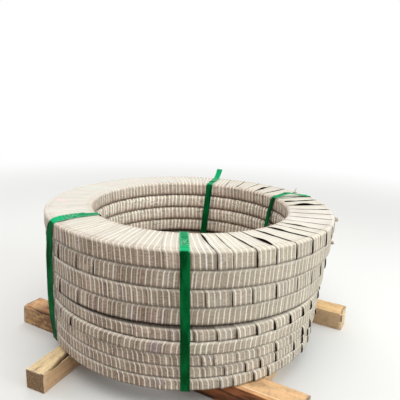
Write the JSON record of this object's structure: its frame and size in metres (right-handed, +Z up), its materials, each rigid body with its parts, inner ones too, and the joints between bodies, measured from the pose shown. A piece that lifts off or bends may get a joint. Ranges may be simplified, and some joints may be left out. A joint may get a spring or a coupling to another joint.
{
  "type": "strapped stack of wrapped stainless steel strip coils",
  "caption": "Stack of slit stainless steel strip coils lying flat, each wound in woven wrap, bound by plastic straps and set on timber bearers.",
  "frame": {"origin": "middle of the footprint, on the floor under the bearers", "axes": "+Z up through the coils' bores, +X along the timber bearers"},
  "size_m": [0.791, 0.7936, 0.379],
  "materials": {
    "strip_steel": "cold rolled, edges of wound strip",
    "wrap": "woven ribbon with pale stripes, faint sheen",
    "strap": "embossed green plastic strapping",
    "timber": "rough sawn softwood"
  },
  "bodies": {
    "root": {"coil_1": "strip_steel", "coil_2": "strip_steel", "coil_3": "strip_steel", "coil_4": "strip_steel", "coil_5": "strip_steel", "coil_6": "strip_steel", "coil_7": "strip_steel", "coil_8": "strip_steel", "coil_9": "strip_steel", "wrap_1": "wrap", "wrap_2": "wrap", "wrap_3": "wrap", "wrap_4": "wrap", "wrap_5": "wrap", "wrap_6": "wrap", "wrap_7": "wrap", "wrap_8": "wrap", "wrap_9": "wrap", "strap_front": "strap", "strap_left": "strap", "strap_right": "strap", "strap_back": "strap", "bearer_front": "timber", "bearer_rear": "timber", "block_front": "timber", "block_inner": "timber"}
  },
  "joints": []
}
